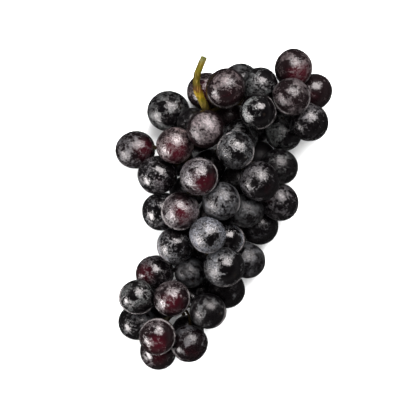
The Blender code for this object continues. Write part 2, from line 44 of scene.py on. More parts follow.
# Berry shape
SIDES = 72                  # points round a berry
RINGS = 50                  # rings from the stem end to the scar
POLE_CROWD = 0.45           # how much closer the rings lie at both ends
STRETCH = 1.045             # length over width
SWELL = 1.038               # of the fitted radius, because the solid has flat faces
FLAT_GAP = 0.14             # clearance between two pressed berries
FLAT_ROUND = 3.0            # how sharp the edge of a flat is, per millimetre
FACING = 0.05               # how nearly a point must face a neighbour to be pressed by it
NEAR = 1.12                 # berries closer than this times touching may press
DENT_DEPTH = 0.35           # the hollow round the small stem
DENT_WIDTH = 2.3
SCAR_HEIGHT = 0.22          # the scar opposite the stem
SCAR_WIDTH = 0.55
SCAR_DENT = 0.16
SCAR_DENT_WIDTH = 1.9
BROAD_WAVES = (9, 1.2, 3.6, 0.085)      # count, least and most waves, height of each
FINE_WAVES = (14, 7.0, 13.0, 0.010)
NO_STEM_WAY = (0.3, 0.2, 0.9)           # a way that no small stem points in

# Stalk shape
STALK_VOXEL = 0.34
STALK_WELD = 0.001          # corners closer than this are one
STALK_SMOOTH = 5            # rounds of smoothing, each by SMOOTH_SHARE
SMOOTH_SHARE = 0.5
STALK_SWELL = 0.05          # makes up for what smoothing takes
COLLAR_REACH = 0.9          # stalk points this near a berry are drawn up to it
COLLAR_DRAW = 0.26
STALK_WAVES = (24, 0.5, 2.2, 0.008)

# Each seen berry: wax, side of the most wax (x, y on the disc seen from above), tint of the wax
# (0 greenish, 0.5 bluish, 1 pink), red under the skin, and where the red is (x, y). The side of
# the most wax mostly lies left or up, towards the lamps, so it is partly a painted lit side.
# Berry 47 shows through the gap beside the stalk. Berry 17 lies deep in shade; its wax is set
# below nothing so its skin shows bare and dark: painted shade.
LOOKS = {
    1: (0.54, 0.1, 0.3, 0.95, 1.00, 0.30, -0.45),
    2: (0.42, 0.0, 0.0, 0.40, 0.00, 0.00, 0.00),
    3: (0.58, -0.2, 0.1, 0.20, 0.00, 0.00, 0.00),
    4: (0.48, -0.1, 0.4, 0.95, 0.35, 0.20, -0.40),
    5: (0.52, 0.0, 0.3, 1.00, 0.80, 0.00, 0.00),
    6: (0.12, 0.0, 0.3, 0.90, 0.40, 0.00, -0.30),
    7: (0.58, 0.0, 0.2, 0.85, 0.20, 0.00, -0.40),
    8: (0.66, -0.1, -0.1, 0.15, 0.00, 0.00, 0.00),
    9: (0.34, -0.8, -0.2, 0.10, 0.00, 0.00, 0.00),
    10: (0.38, -0.1, 0.2, 0.60, 0.00, 0.00, 0.00),
    11: (1.12, 0.0, 0.2, 0.85, 0.15, 0.00, -0.30),
    12: (0.68, -0.6, 0.1, 0.10, 0.00, 0.00, 0.00),
    13: (0.52, 0.0, 0.2, 0.30, 0.00, 0.00, 0.00),
    14: (0.78, -0.1, 0.7, 1.00, 1.00, 0.05, -0.30),
    15: (0.63, -0.5, 0.0, 0.60, 0.70, 0.50, 0.00),
    16: (0.75, 0.0, 0.2, 0.35, 0.00, 0.00, 0.00),
    17: (-0.60, 0.0, 0.0, 0.40, 0.00, 0.00, 0.00),
    18: (0.30, 0.0, 0.2, 0.10, 0.00, 0.00, 0.00),
    19: (0.56, -0.2, 0.2, 0.60, 0.25, 0.10, -0.20),
    20: (0.70, -0.7, 0.3, 0.65, 0.70, 0.10, -0.35),
    21: (0.50, -0.5, 0.5, 0.60, 0.20, 0.50, -0.50),
    22: (0.88, 0.0, 0.1, 0.45, 0.00, 0.00, 0.00),
    23: (0.56, -0.5, 0.2, 0.62, 0.35, -0.75, 0.15),
    24: (0.79, -0.2, 0.1, 0.75, 0.75, 0.05, -0.10),
    25: (0.72, 0.0, 0.1, 0.35, 0.00, 0.00, 0.00),
    26: (0.42, 0.0, 0.2, 0.50, 0.10, 0.00, 0.00),
    27: (0.16, 0.0, 0.0, 0.50, 0.00, 0.00, 0.00),
    28: (1.35, -0.1, 0.2, 0.50, 0.00, 0.00, 0.00),
    29: (0.36, 0.5, -0.2, 0.50, 0.00, 0.00, 0.00),
    30: (0.58, -0.3, 0.0, 0.45, 0.10, 0.00, 0.00),
    31: (0.54, 0.0, 0.2, 0.50, 0.00, 0.00, 0.00),
    32: (0.70, -0.6, 0.3, 0.40, 0.00, 0.00, 0.00),
    33: (0.60, 0.2, 0.2, 0.65, 0.80, -0.60, 0.00),
    34: (0.63, 0.0, 0.2, 0.40, 0.00, 0.00, 0.00),
    35: (0.00, 0.0, 0.0, 0.40, 0.00, 0.00, 0.00),
    36: (0.50, -0.2, 0.2, 0.15, 0.00, 0.00, 0.00),
    37: (0.54, -0.2, 0.4, 0.80, 0.75, 0.00, -0.15),
    38: (0.10, 0.0, 0.0, 0.40, 0.00, 0.00, 0.00),
    39: (0.34, -0.2, 0.2, 0.30, 0.00, 0.00, 0.00),
    40: (0.54, 0.3, 0.2, 0.50, 0.15, 0.00, 0.00),
    41: (0.20, 0.0, 0.0, 0.50, 0.00, 0.00, 0.00),
    42: (0.37, -0.1, 0.6, 0.85, 0.75, 0.05, -0.35),
    43: (0.44, -0.3, 0.5, 0.50, 0.30, 0.20, -0.45),
    44: (0.44, -0.3, 0.0, 0.75, 0.50, 0.00, -0.35),
    47: (-0.20, 0.0, 0.0, 1.00, 0.20, 0.00, 0.00),
}
# Places with more or less wax: berry, x, y on its disc, width as a part of its radius, amount.
# Some paint light: wax added where the lamps' highlights fall, low on the left and high in the
# middle, is a painted highlight, and wax taken off near the upper rims and on the lower right,
# away from the lamps, is painted shade.
DABS = (
    (1, -0.45, 0.12, 0.24, -0.8),
    (1, 0.10, 0.85, 0.45, -0.4),
    (1, -0.25, 0.55, 0.20, 0.3),
    (3, 0.30, 0.60, 0.32, -0.7),
    (3, -0.10, -0.25, 0.35, 0.25),
    (4, 0.10, -0.60, 0.38, -0.5),
    (4, -0.05, 0.40, 0.40, 0.3),
    (5, 0.35, 0.20, 0.30, 0.3),
    (6, -0.15, 0.15, 0.35, 0.3),
    (7, -0.45, -0.35, 0.20, 0.5),
    (7, -0.30, 0.55, 0.22, -0.5),
    (7, 0.15, 0.05, 0.35, 0.2),
    (8, -0.30, 0.08, 0.18, -0.8),
    (8, 0.35, -0.05, 0.14, -0.6),
    (8, 0.15, 0.55, 0.28, -0.5),
    (8, 0.00, -0.62, 0.30, -0.5),
    (8, -0.62, -0.40, 0.25, 0.3),
    (9, 0.25, -0.35, 0.45, -0.4),
    (10, 0.45, -0.30, 0.45, -0.4),
    (10, -0.10, 0.30, 0.28, 0.3),
    (12, 0.45, -0.45, 0.40, -0.6),
    (12, -0.35, 0.10, 0.35, 0.5),
    (14, -0.62, -0.35, 0.18, 0.5),
    (14, 0.22, -0.12, 0.09, 0.6),
    (14, 0.10, 0.70, 0.16, -0.5),
    (14, 0.10, -0.20, 0.40, -0.1),
    (15, -0.55, 0.12, 0.16, -0.6),
    (15, 0.05, -0.20, 0.45, 0.2),
    (15, 0.60, 0.45, 0.28, -0.6),
    (16, 0.35, 0.60, 0.26, -0.8),
    (16, 0.35, -0.35, 0.30, -0.6),
    (16, 0.00, 0.05, 0.22, 0.4),
    (16, -0.45, -0.40, 0.28, 0.5),
    (20, 0.72, 0.20, 0.36, -1.4),
    (20, 0.62, -0.40, 0.30, -1.0),
    (20, -0.55, -0.25, 0.24, 0.5),
    (20, -0.45, 0.40, 0.20, -0.5),
    (21, 0.45, -0.45, 0.42, -0.8),
    (22, -0.38, -0.05, 0.14, -0.6),
    (22, 0.60, 0.40, 0.30, -0.5),
    (24, -0.10, 0.75, 0.30, -1.2),
    (24, -0.48, -0.22, 0.24, 0.9),
    (24, 0.05, -0.08, 0.24, -0.7),
    (24, 0.35, -0.75, 0.24, -0.8),
    (24, 0.62, 0.15, 0.26, 0.6),
    (28, 0.12, -0.15, 0.30, -1.3),
    (28, 0.50, -0.05, 0.16, -1.0),
    (28, 0.10, -0.50, 0.12, -1.0),
    (28, -0.25, -0.55, 0.14, -0.5),
    (29, 0.25, 0.00, 0.35, -0.6),
    (30, 0.10, 0.62, 0.34, -0.9),
    (30, 0.30, -0.10, 0.35, -0.3),
    (32, 0.45, -0.35, 0.55, -0.9),
    (32, 0.20, 0.05, 0.16, -0.6),
    (32, -0.40, 0.00, 0.35, 0.4),
    (33, 0.35, 0.45, 0.35, -0.6),
    (36, -0.20, -0.05, 0.12, -0.5),
    (36, 0.15, -0.15, 0.25, 0.4),
    (36, 0.30, -0.70, 0.30, -0.6),
    (37, 0.15, 0.70, 0.22, -0.5),
    (37, 0.60, -0.25, 0.35, -0.5),
    (37, -0.55, -0.35, 0.24, 0.4),
    (39, 0.30, -0.15, 0.28, -0.7),
    (39, -0.30, 0.20, 0.35, 0.2),
    (42, 0.55, 0.30, 0.40, -0.5),
    (42, -0.50, -0.20, 0.22, 0.3),
    (43, 0.15, -0.45, 0.50, -0.6),
    (43, -0.05, 0.25, 0.35, 0.3),
    (44, 0.30, -0.30, 0.40, -0.4),
)
# Rings where the wax is thicker or thinner: berry, from and to in degrees, how far out on its
# disc, width, amount. The dark rings all round a rim are painted shade, and the bright rings near
# a rim are painted rim reflections.
ARCS = (
    (4, 0, 360, 0.97, 0.10, -0.7),
    (5, 20, 110, 0.55, 0.04, 1.0),
    (9, 105, 235, 0.76, 0.09, 1.3),
    (9, 100, 240, 0.92, 0.04, -0.6),
    (11, 0, 360, 0.98, 0.16, -1.3),
    (12, 120, 240, 0.85, 0.06, 0.6),
    (14, -70, 70, 0.97, 0.10, 0.9),
    (24, -30, 60, 0.86, 0.06, 0.8),
    (29, -80, 70, 0.86, 0.06, 1.0),
    (30, 150, 250, 0.88, 0.05, 1.0),
    (40, -60, 60, 0.86, 0.10, 0.6),
)
# Painted rim reflections, thin bright lines near the rim painted into the colour: berry, from and
# to in degrees, how far out, share
PAINTED_RIM_LINES = (
    (1, -35, 40, 0.96, 0.3),
    (4, 195, 320, 0.95, 0.3),
    (7, 180, 270, 0.93, 0.8),
    (7, -50, 30, 0.94, 0.5),
    (9, -100, 60, 0.94, 0.6),
    (13, 150, 230, 0.92, 0.4),
    (16, 95, 215, 0.93, 0.9),
    (16, -60, 20, 0.93, 0.6),
    (20, -60, 50, 0.93, 0.7),
    (20, 60, 110, 0.90, 0.6),
    (22, -40, 30, 0.94, 0.4),
    (24, 110, 300, 0.95, 0.8),
    (24, -40, 40, 0.94, 0.7),
    (28, 190, 300, 0.94, 0.5),
    (29, -70, 60, 0.92, 0.8),
    (30, 150, 250, 0.93, 0.6),
    (32, 240, 330, 0.94, 0.5),
    (33, 20, 70, 0.90, 0.7),
    (36, 140, 330, 0.94, 0.8),
    (37, -90, 40, 0.94, 0.8),
    (37, 200, 260, 0.93, 0.8),
    (39, -70, 20, 0.92, 0.6),
    (42, -110, 160, 0.95, 0.7),
    (43, 190, 250, 0.92, 0.5),
)
PAINTED_RIM_WIDTH = 0.028
# How soft and weak the highlights of a berry are, for those whose highlights aren't all crisp
SOFT = {
    1: 0.4, 2: 0.7, 3: 0.3, 4: 0.5, 5: 0.5, 6: 0.4, 7: 0.5, 8: 0.5, 10: 0.3, 11: 0.5,
    12: 0.4, 13: 0.6, 15: 0.4, 17: 2.0, 18: 1.0, 21: 0.4, 22: 0.7, 23: 0.5, 25: 0.9, 27: 0.9,
    31: 1.0, 32: 0.2, 34: 0.9, 35: 0.9, 38: 0.9, 39: 1.0, 40: 0.4, 41: 0.8, 43: 0.7, 47: 1.0,
}
HIDDEN_SOFT = 1.0

# Wax and red at the points of a berry
WAX_SHARE = 0.72            # scales all wax
# the lean mostly goes left or up, towards the lamps: partly a painted lit side
SIDE_WAX = 0.35             # how strongly the wax leans to one side
# less wax towards the underside darkens each berry lower down: painted shade
UNDER_WAX = 0.05            # how much less wax there is on the underside
DAB_SHARE = 0.7             # scales all dabs
ARC_SOFT = 12.0             # degrees over which an arc fades at its ends
RED_WIDTH = 0.75            # width of a red part, as a part of the radius
STEM_MARK_WIDTH = 1.9       # the brown mark in the dent
# the hidden berries get less wax than the seen ones, so they are darker deep in the bunch: painted
# shade
HIDDEN_WAX = (0.05, 0.25)   # least and most on the berries that the photo doesn't show
HIDDEN_SIDE = (-0.5, 0.5)
HIDDEN_TINT = (0.2, 0.8)

# Patterns on the skin: waves per metre, detail, roughness and warp of each noise
CLOUDS = (150.0, 2.0, 0.5, 0.8)
PATCHES = (360.0, 3.0, 0.6, 0.6)
BLOTS = (300.0, 4.0, 0.55, 0.5)
SPECKS = (850.0, 3.0, 0.6)
GRAIN = (1500.0, 2.0, 0.6)
PATTERN_MEAN = 0.5

# Skin colours: name of the material, the skin itself, and where it is red
SKINS = {
    "black_skin": ("skin_black", (0.0016, 0.0012, 0.0015), (0.021, 0.0018, 0.0040)),
    "red_skin": ("skin_red", (0.0030, 0.0014, 0.0018), (0.028, 0.0022, 0.0052)),
}
BROWN_SKIN = (0.006, 0.003, 0.0035)     # under pinkish wax
BROWN_TINTS = (0.55, 0.95)  # tints of the wax, from no brown to all brown
RED_CLOUDS = 0.7            # how much the clouds move the red
RED_LEVELS = (0.15, 0.85)   # from no red to all red
RED_EDGE = (0.02, 0.2)      # keeps the clouds from making red where there is none
RED_CLEARS = 0.45           # the part of the film that is gone where the skin is red

# Wax: how much each pattern moves its level, and the levels between which it changes the skin
CLOUD_WAX = 1.8
PATCH_WAX = 1.6
SPECK_WAX = 0.75
FILM_LEVELS = (0.20, 0.95)  # from bare skin to a full film
HAZE_LEVELS = (0.16, 0.60)  # from glossy to dull
THICK_LEVELS = (0.75, 1.35)             # from the colours of thin wax to those of thick wax
BLOT_RUBS = (0.34, 0.42, 0.35, 1.0)     # the pattern from and to, the film left from and to
SPECK_RUBS = (0.36, 0.64, 0.32, 1.48)
GRAIN_RUBS = (0.36, 0.64, 0.50, 1.50)
FILM_SHARE = 0.85           # how much of the skin a full film hides
THIN_WAX = (                # colour by tint
    (0.0, (0.042, 0.046, 0.043)),
    (0.5, (0.045, 0.046, 0.050)),
    (1.0, (0.067, 0.047, 0.048)),
)
THICK_WAX = (
    (0.0, (0.100, 0.107, 0.100)),
    (0.5, (0.104, 0.108, 0.126)),
    (1.0, (0.158, 0.116, 0.116)),
)
MARK_SHARE = 0.70           # how strongly the scar and the mark at the stem show
SCAR_COLOUR = (0.020, 0.014, 0.010)
STEM_MARK_COLOUR = (0.075, 0.060, 0.030)
# Painted rim reflections: how the patches break up the bright lines, and their colour
PAINTED_RIM_BREAKS = (0.38, 0.52, 0.15, 1.0)    # the patches from and to, the rim left from and to
PAINTED_RIM_COLOUR = (0.34, 0.31, 0.31)

# Gloss and relief of the skin
BARE_ROUGHNESS = 0.11
HAZE_ROUGHNESS = 0.22       # these four are added by haze, specks, grain and softness
SPECK_ROUGHNESS = 0.60
GRAIN_ROUGHNESS = 1.10
SOFT_ROUGHNESS = 0.20
BARE_GRIT = 0.30            # how much of the specks and grain the gloss of bare skin shows
BARE_SHINE = 0.45
HAZE_SHINE = 0.55           # added by haze
SOFT_SHINE = 0.35           # the part that softness takes away
SKIN_IOR = 1.6
SKIN_SPECULAR = (1.0, 0.94, 0.94, 1.0)
FILM_RISE = 0.30
SPECK_RISE = 0.35
HAZE_SPECK_RISE = 0.25      # added by haze
HAZE_GRAIN_RISE = 0.07
SKIN_RELIEF = (0.8, 0.00032)            # strength, and depth in metres

# Stalk colours, by how far along it a point lies
STALK_SPAN = (0.050, 0.095)             # metres in y, from 0 to 1 along it
SIDE_STEMS = (-0.009, -0.004)           # metres in x: past this the parts are side stems
SIDE_BROWN = 0.25           # how far side stems are moved towards the brown start
SPOT_SHIFT = 0.12
STALK_COLOURS = (
    (0.00, (0.012, 0.007, 0.002)),
    (0.15, (0.019, 0.010, 0.002)),
    (0.24, (0.100, 0.072, 0.014)),
    (0.29, (0.105, 0.082, 0.004)),
    (0.35, (0.180, 0.115, 0.003)),
    (0.40, (0.120, 0.077, 0.004)),
    (0.43, (0.050, 0.015, 0.002)),
    (0.50, (0.044, 0.032, 0.001)),
    (0.61, (0.046, 0.034, 0.002)),
    (0.70, (0.077, 0.061, 0.004)),
    (0.77, (0.070, 0.051, 0.006)),
    (0.81, (0.091, 0.081, 0.031)),
    (0.85, (0.038, 0.048, 0.006)),
)
STREAK_SCALE = (1.0, 0.16, 1.0)         # stretches the streaks along the stalk
STREAKS = (700.0, 3.0, 0.6)
SPOTS = (260.0, 4.0, 0.6)
FIBRES = (2400.0, 2.0)
DARK_STREAKS = (0.34, 0.50, 0.70, 0.0)  # the streaks from and to, the dark from and to
DARK_STREAK = (0.016, 0.016, 0.002)
LIGHT_STREAKS = (0.50, 0.66)
LIGHT_STREAK = (0.230, 0.165, 0.045)
FRESH_PART = (0.12, 0.26, 0.05, 0.55)   # along from and to, the light streaks from and to
STALK_ROUGHNESS = (0.3, 0.7, 0.50, 0.70)
STALK_SPECULAR = 0.1
FIBRE_RISE = 0.5
STALK_RELIEF = (0.5, 0.0002)

# Camera and light, in metres and watts where nothing else is said
PIXEL = 0.58                # size of a pixel of the photo at the middle berries, in millimetres
VIEW_SIDE = 400             # pixels along each side of the frame
VIEW_AIM = (-13.6, 5.5)     # the point at the frame's centre, in millimetres
VIEW_LEVEL = 28.0           # the height that the pixel size holds at, in millimetres
VIEW_DISTANCE = 2.5         # from that height up to the camera
VIEW_END = 20.0             # how far the camera sees
SENSOR = 36.0               # width of the camera's sensor, in millimetres
AIM = (-0.005, 0.0, 0.03)   # what the lights point at
KEY_WAY = (-0.87, -0.44, 0.27)      # towards the window-like light, low on the left
KEY_DISTANCE = 0.95
KEY_SIZE = (0.58, 0.40)
KEY_POWER = 11.5
TOP_WAY = (0.20, 0.60, 0.78)        # towards the broad light
TOP_DISTANCE = 1.1
TOP_SIZE = (0.95, 0.75)
TOP_POWER = 23.0
FILL_HEIGHT = 1.3           # a broad soft light overhead that doesn't mirror in the skins
FILL_SIZE = (2.6, 2.6)
FILL_POWER = 44.0
SURROUNDINGS = (            # from straight below (0) to straight above (1), and how bright
    (0.0, 0.07),
    (0.49, 0.07),
    (0.505, 0.17),
    (0.62, 0.17),
    (0.80, 0.03),
)
FLOOR_HALF = 6.0            # from the floor's middle to a side
FLOOR_COLOUR = (0.97, 0.97, 0.97, 1.0)
FLOOR_ROUGHNESS = 0.7
FLOOR_SPECULAR = 0.2
EXPOSURE = 0.32             # in stops
GAMMA = 0.9                 # below 1, so the darks are deeper, as in the photo


def mesh_values(mesh, field):
    """The places ("co") or the normals ("normal") of a mesh's points."""
    values = np.empty(len(mesh.vertices) * 3)
    mesh.vertices.foreach_get(field, values)
    return values.reshape(-1, 3)


def node_points(name):
    """The corners of a solid, in millimetres."""
    return mesh_values(frame["nodes"][name].data, "co") / MM


def fit_ball(points):
    """Middle and radius of the ball that a berry's round part lies on."""
    keep = np.ones(len(points), bool)
    for _ in range(FIT_ROUNDS):
        part = points[keep]
        rows = np.column_stack((2.0 * part, np.ones(len(part))))
        found = np.linalg.lstsq(rows, (part ** 2).sum(axis=1), rcond=None)[0]
        middle = found[:3]
        radius = math.sqrt(found[3] + middle @ middle)
        far = np.linalg.norm(points - middle, axis=1)
        keep = far > radius - FLAT_DEPTH
    return middle, radius


def stem_ways(middles):
    """From each berry's middle, the way to its small stem: towards the nearest stalk corners."""
    stalk = node_points("stalk")
    ways = []
    for middle in middles:
        step = stalk - middle
        far = np.linalg.norm(step, axis=1)
        way = step[far < far.min() + STEM_REACH].mean(axis=0)
        ways.append(way / np.linalg.norm(way))
    return np.array(ways)


def berry_grid():
    """Angles from the stem end and round the axis, and the faces of the grid."""
    even = np.linspace(0.0, 1.0, RINGS + 1)
    down = math.pi * (even - POLE_CROWD * np.sin(2 * math.pi * even) / (2 * math.pi))
    turn = 2 * math.pi * np.arange(SIDES) / SIDES
    inner = down[1:-1]
    rows = len(inner)
    faces = []
    for side in range(SIDES):
        after = (side + 1) % SIDES
        faces.append((0, 1 + side, 1 + after))
        for row in range(rows - 1):
            low = 1 + row * SIDES
            high = low + SIDES
            faces.append((low + side, high + side, high + after, low + after))
        last = 1 + (rows - 1) * SIDES
        faces.append((last + side, 1 + rows * SIDES, last + after))
    down_all = np.concatenate(((0.0,), np.repeat(inner, SIDES), (math.pi,)))
    turn_all = np.concatenate(((0.0,), np.tile(turn, rows), (0.0,)))
    return down_all, turn_all, faces


def waves(draw, ways, kind):
    """A sum of random waves over directions."""
    count, least, most, height = kind
    total = np.zeros(len(ways))
    for _ in range(count):
        line = draw.normal(size=3)
        line *= draw.uniform(least, most) / np.linalg.norm(line)
        total += height * np.sin(ways @ line + draw.uniform(0.0, 2 * math.pi))
    return total


def press(reach, ways, number, middles, radii):
    """Shortens a berry's reach where a neighbour or the surface presses it flat."""
    middle, radius = middles[number], radii[number]
    total = np.exp(-FLAT_ROUND * reach)
    for other in range(len(middles)):
        step = middles[other] - middle
        far = np.linalg.norm(step)
        if other == number or far > NEAR * (radius + radii[other]):
            continue
        plane = (far ** 2 + radius ** 2 - radii[other] ** 2) / (2 * far) - FLAT_GAP / 2
        along = ways @ (step / far)
        facing = along > FACING
        total[facing] += np.exp(-FLAT_ROUND * plane / along[facing])
    facing = ways[:, 2] < -FACING
    total[facing] += np.exp(FLAT_ROUND * middle[2] / ways[facing, 2])
    return -np.log(total) / FLAT_ROUND


def disc_way(x, y):
    """The direction whose point on a ball lies at x, y on its disc seen from above."""
    return np.array((x, y, math.sqrt(max(0.0, 1.0 - x * x - y * y))))


def arc_share(ways, start, end, out, width):
    """How much each point belongs to an arc on the upper side, a given way out on the disc."""
    reach = np.hypot(ways[:, 0], ways[:, 1])
    share = np.exp(-((reach - out) / width) ** 2) * (ways[:, 2] > 0.0)
    if end - start < 360:
        turn = np.degrees(np.arctan2(ways[:, 1], ways[:, 0]))
        past = (turn - start) % 360.0
        inside = np.minimum(past, end - start - past) / ARC_SOFT
        share *= np.clip(inside, 0.0, 1.0)
    return share


def skin_values(draw, label, ways):
    """Wax, tint of the wax and red under the skin, at each point of a berry. Part of the wax is
    painted light and shade: its lean towards the lamps, less of it underneath, and some dabs and
    arcs.
    """
    if label in LOOKS:
        wax, side_x, side_y, tint, red, red_x, red_y = LOOKS[label]
    else:
        wax = draw.uniform(*HIDDEN_WAX)
        side_x, side_y = draw.uniform(*HIDDEN_SIDE, 2)
        tint = draw.uniform(*HIDDEN_TINT)
        red, red_x, red_y = 0.0, 0.0, 0.0
    side = np.array((side_x, side_y, 0.0))
    # the lean to one side and the lower wax underneath paint a lit side and a shaded underside
    wax_and_painted_light = WAX_SHARE * wax + SIDE_WAX * (ways @ side) - UNDER_WAX * (1.0 - ways[:, 2])
    # dabs: some paint highlights where the lamps shine, and some paint shade away from them
    for berry, x, y, width, amount in DABS:
        if berry == label:
            off = np.linalg.norm(ways - disc_way(x, y), axis=1)
            wax_and_painted_light += DAB_SHARE * amount * np.exp(-(off / width) ** 2)
    # arcs: dark rings round a rim paint shade, bright ones near it paint rim reflections
    for berry, start, end, out, width, amount in ARCS:
        if berry == label:
            wax_and_painted_light += amount * arc_share(ways, start, end, out, width)
    off = np.linalg.norm(ways - disc_way(red_x, red_y), axis=1)
    red_all = red * np.exp(-(off / RED_WIDTH) ** 2)
    return np.column_stack((wax_and_painted_light, np.full(len(ways), tint), red_all))


def painted_rim_share(label, ways):
    """How strongly each point of a berry lies on a painted rim reflection."""
    painted_rim = np.zeros(len(ways))
    for berry, start, end, out, share in PAINTED_RIM_LINES:
        if berry == label:
            painted_rim = np.maximum(painted_rim, share * arc_share(ways, start, end, out, PAINTED_RIM_WIDTH))
    return painted_rim


def store_points(mesh, name, values):
    """Keeps a number, or three numbers, at each point of a mesh, for its material to read."""
    kind, field = ("FLOAT", "value") if values.ndim == 1 else ("FLOAT_VECTOR", "vector")
    store = mesh.attributes.new(name, kind, "POINT")
    store.data.foreach_set(field, values.ravel())


def berry_ways(axis, down, turn):
    """The directions from a berry's middle to its points."""
    across = np.cross(axis, NO_STEM_WAY)
    across /= np.linalg.norm(across)
    other = np.cross(axis, across)
    return (
        np.cos(down)[:, None] * axis
        + (np.sin(down) * np.cos(turn))[:, None] * across
        + (np.sin(down) * np.sin(turn))[:, None] * other
    )


def free_reach(draw, radius, down, ways):
    """How far out each point of a berry lies before anything presses it.

    Also how much each point belongs to the scar, and to the mark round the small stem.
    """
    long_half = radius * SWELL
    wide_half = long_half / STRETCH
    reach = 1.0 / np.sqrt((np.cos(down) / long_half) ** 2 + (np.sin(down) / wide_half) ** 2)
    off = radius * np.sin(down)
    stem_side = down < math.pi / 2
    reach += waves(draw, ways, BROAD_WAVES) + waves(draw, ways, FINE_WAVES)
    reach -= np.where(stem_side, DENT_DEPTH * np.exp(-(off / DENT_WIDTH) ** 2), 0.0)
    scar = np.where(stem_side, 0.0, np.exp(-(off / SCAR_WIDTH) ** 2))
    reach += SCAR_HEIGHT * scar
    reach -= np.where(stem_side, 0.0, SCAR_DENT * np.exp(-(off / SCAR_DENT_WIDTH) ** 2))
    stem_mark = np.where(stem_side, np.exp(-(off / STEM_MARK_WIDTH) ** 4), 0.0)
    return reach, scar, stem_mark


def make_berry(number, middles, radii, axis, grid, material):
    """The fine mesh of one berry. Its label is its number in the tables and in the nodes' names."""
    label = number + 1
    draw = np.random.default_rng((SEED, number))
    down, turn, faces = grid
    ways = berry_ways(axis, down, turn)
    reach, scar, stem_mark = free_reach(draw, radii[number], down, ways)
    reach = press(reach, ways, number, middles, radii)
    points = middles[number] + ways * reach[:, None]
    points[:, 2] = np.maximum(points[:, 2], 0.0)
    mesh = bpy.data.meshes.new(f"grape_{label:02d}")
    mesh.from_pydata(points * MM, [], faces)
    mesh.update()
    mesh.shade_smooth()
    soft = SOFT.get(label, 0.0 if label in LOOKS else HIDDEN_SOFT)
    store_points(mesh, "skin", skin_values(draw, label, ways))
    # the third number is the share of the painted rim reflections
    store_points(mesh, "ends", np.column_stack((scar, stem_mark, painted_rim_share(label, ways))))
    store_points(mesh, "soft", np.full(len(ways), soft))
    mesh.materials.append(material)
    berry = bpy.data.objects.new(mesh.name, mesh)
    bpy.context.scene.collection.objects.link(berry)
    return berry


def rounded_stalk():
    """The stalk's solid as an object with a fine rounded mesh."""
    mesh = frame["nodes"]["stalk"].data.copy()
    mesh.name = "stalk_fine"
    mesh.materials.clear()
    rough = bmesh.new()
    rough.from_mesh(mesh)
    bmesh.ops.remove_doubles(rough, verts=rough.verts[:], dist=STALK_WELD * MM)
    rough.to_mesh(mesh)
    rough.free()
    stalk = bpy.data.objects.new("stalk_fine", mesh)
    bpy.context.scene.collection.objects.link(stalk)
    remesh = stalk.modifiers.new("remesh", "REMESH")
    remesh.mode = "VOXEL"
    remesh.voxel_size = STALK_VOXEL * MM
    smooth = stalk.modifiers.new("smooth", "SMOOTH")
    smooth.factor = SMOOTH_SHARE
    smooth.iterations = STALK_SMOOTH
    bpy.context.view_layer.update()
    made = stalk.evaluated_get(bpy.context.evaluated_depsgraph_get())
    fine = bpy.data.meshes.new_from_object(made)
    stalk.modifiers.clear()
    stalk.data = fine
    return stalk


def make_stalk(middles, radii, material):
    """The stalk with a fine uneven surface, and its collars drawn up to the berries."""
    stalk = rounded_stalk()
    fine = stalk.data
    points = mesh_values(fine, "co") / MM
    normals = mesh_values(fine, "normal")
    draw = np.random.default_rng(SEED)
    points += normals * (STALK_SWELL + waves(draw, points, STALK_WAVES))[:, None]
    for middle, radius in zip(middles, radii):
        step = points - middle
        far = np.linalg.norm(step, axis=1)
        near = np.clip(1.0 - (far - radius) / COLLAR_REACH, 0.0, 1.0)
        points -= step / far[:, None] * (COLLAR_DRAW * near)[:, None]
    fine.vertices.foreach_set("co", (points * MM).ravel())
    fine.update()
    fine.shade_smooth()
    fine.materials.clear()
    fine.materials.append(material)
    return stalk


def feed(node, key, value):
    """Links another node's output to an input, or sets the input to a number or colour."""
    if isinstance(value, bpy.types.NodeSocket):
        node.id_data.links.new(value, node.inputs[key])
    else:
        node.inputs[key].default_value = value


def new_material(name):
    """An empty node material, its shader, and a function that adds nodes to it."""
    material = bpy.data.materials.new(name)
    material.use_nodes = True
    tree = material.node_tree

    def add(kind, inputs=(), **settings):
        node = tree.nodes.new(kind)
        for key, value in settings.items():
            setattr(node, key, value)
        for key, value in dict(inputs).items():
            feed(node, key, value)
        return node

    return material, tree.nodes["Principled BSDF"], add


def fill_ramp(node, stops):
    """Sets the stops of a colour ramp, each a position and a colour. A new ramp has two."""
    elements = node.color_ramp.elements
    for place, _ in stops[2:]:
        elements.new(place)
    for element, (place, colour) in zip(elements, stops):
        element.position = place
        element.color = (*colour, 1.0)


def ramp(add, value, stops):
    """The colour that a ramp gives a value."""
    node = add("ShaderNodeValToRGB", {"Fac": value})
    fill_ramp(node, stops)
    return node.outputs["Color"]


def remap(add, value, low, high, to_low=0.0, to_high=1.0, smooth=True):
    """The value stretched from one range to another, and kept within it."""
    kind = "SMOOTHSTEP" if smooth else "LINEAR"
    inputs = {
        "Value": value,
        "From Min": low,
        "From Max": high,
        "To Min": to_low,
        "To Max": to_high,
    }
    return add("ShaderNodeMapRange", inputs, interpolation_type=kind).outputs["Result"]


def blend(add, share, first, second):
    """A mix of two colours, each a socket or three numbers. A mix node's colours are 6 and 7."""
    first, second = (
        colour if isinstance(colour, bpy.types.NodeSocket) else (*colour, 1.0)
        for colour in (first, second)
    )
    node = add("ShaderNodeMix", {}, data_type="RGBA")
    for key, value in ((0, share), (6, first), (7, second)):
        feed(node, key, value)
    return node.outputs[2]


def maths(add, kind, first, second):
    """One step of reckoning with two values."""
    return add("ShaderNodeMath", {0: first, 1: second}, operation=kind).outputs[0]


def plus(add, first, second):
    """The sum of two values."""
    return maths(add, "ADD", first, second)


def minus(add, first, second):
    """The first value less the second."""
    return maths(add, "SUBTRACT", first, second)


def times(add, first, second):
    """The product of two values."""
    return maths(add, "MULTIPLY", first, second)


